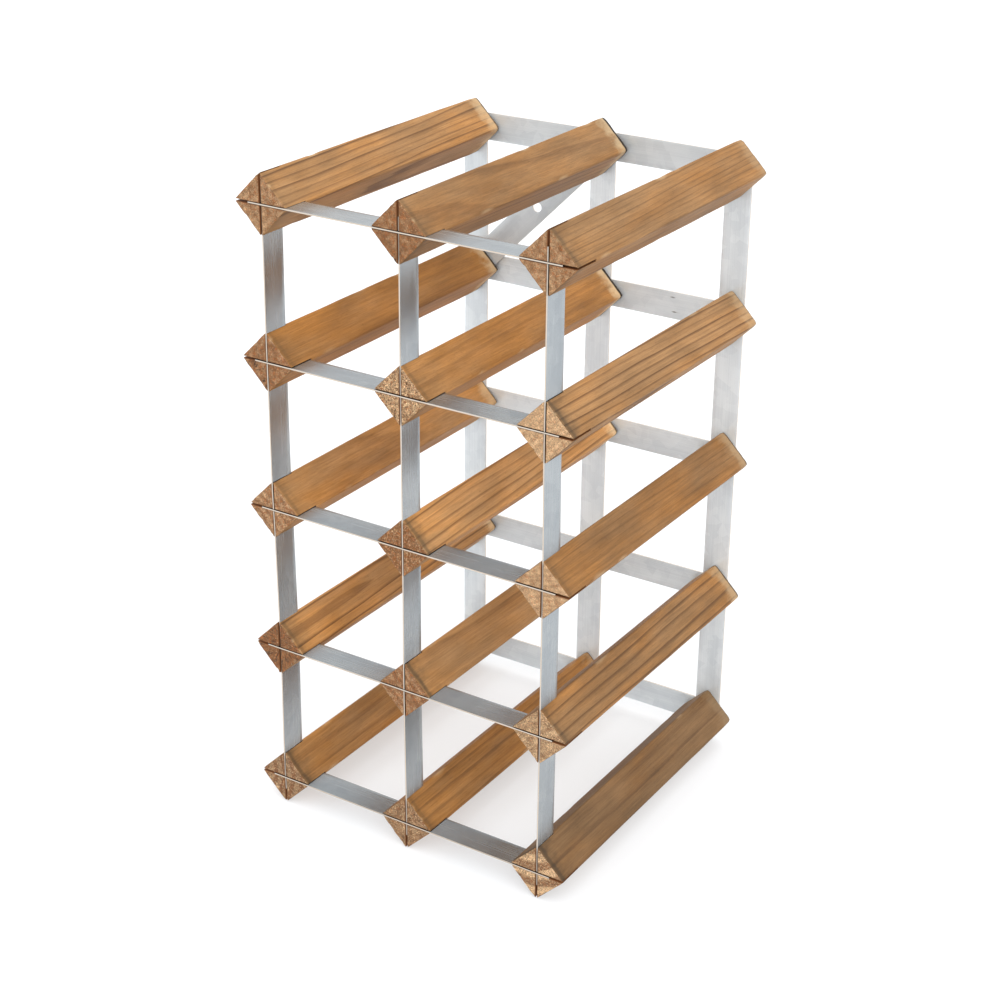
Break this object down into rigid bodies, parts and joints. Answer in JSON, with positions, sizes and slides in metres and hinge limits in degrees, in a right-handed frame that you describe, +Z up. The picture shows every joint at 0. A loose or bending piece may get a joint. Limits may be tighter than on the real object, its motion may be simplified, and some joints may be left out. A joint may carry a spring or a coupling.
{
  "type": "wine rack",
  "caption": "Free-standing wine rack: square pine battens on the diamond, held front and rear in a grid of thin galvanised steel strip, with a diagonal brace at the back.",
  "frame": {"origin": "on the surface that the rack stands on, under the middle of its bounding box", "axes": "+Z up; -Y the front, where the strips are set edge-on in the battens; +X to the right as seen from the front"},
  "size_m": [0.2292, 0.228, 0.4212],
  "materials": {
    "stained_pine": "warm mid brown stain on planed pine, matt to satin; sawn end grain at both ends",
    "galvanised_strip": "satin zinc coating with soft drawn lines and bright sheared edges",
    "nail_steel": "satin zinc coating"
  },
  "bodies": {
    "root": {"batten_row1_left": "stained_pine", "batten_row1_middle": "stained_pine", "batten_row1_right": "stained_pine", "batten_row2_left": "stained_pine", "batten_row2_middle": "stained_pine", "batten_row2_right": "stained_pine", "batten_row3_left": "stained_pine", "batten_row3_middle": "stained_pine", "batten_row3_right": "stained_pine", "batten_row4_left": "stained_pine", "batten_row4_middle": "stained_pine", "batten_row4_right": "stained_pine", "batten_row5_left": "stained_pine", "batten_row5_middle": "stained_pine", "batten_row5_right": "stained_pine", "front_cross_strip_row1": "galvanised_strip", "front_cross_strip_row2": "galvanised_strip", "front_cross_strip_row3": "galvanised_strip", "front_cross_strip_row4": "galvanised_strip", "front_cross_strip_row5": "galvanised_strip", "front_upright_left": "galvanised_strip", "front_upright_middle": "galvanised_strip", "front_upright_right": "galvanised_strip", "rear_cross_strip_row1": "galvanised_strip", "rear_cross_strip_row2": "galvanised_strip", "rear_cross_strip_row3": "galvanised_strip", "rear_cross_strip_row4": "galvanised_strip", "rear_cross_strip_row5": "galvanised_strip", "rear_upright_left": "galvanised_strip", "rear_upright_middle": "galvanised_strip", "rear_upright_right": "galvanised_strip", "diagonal_brace": "galvanised_strip", "rear_nails": "nail_steel"}
  },
  "joints": []
}
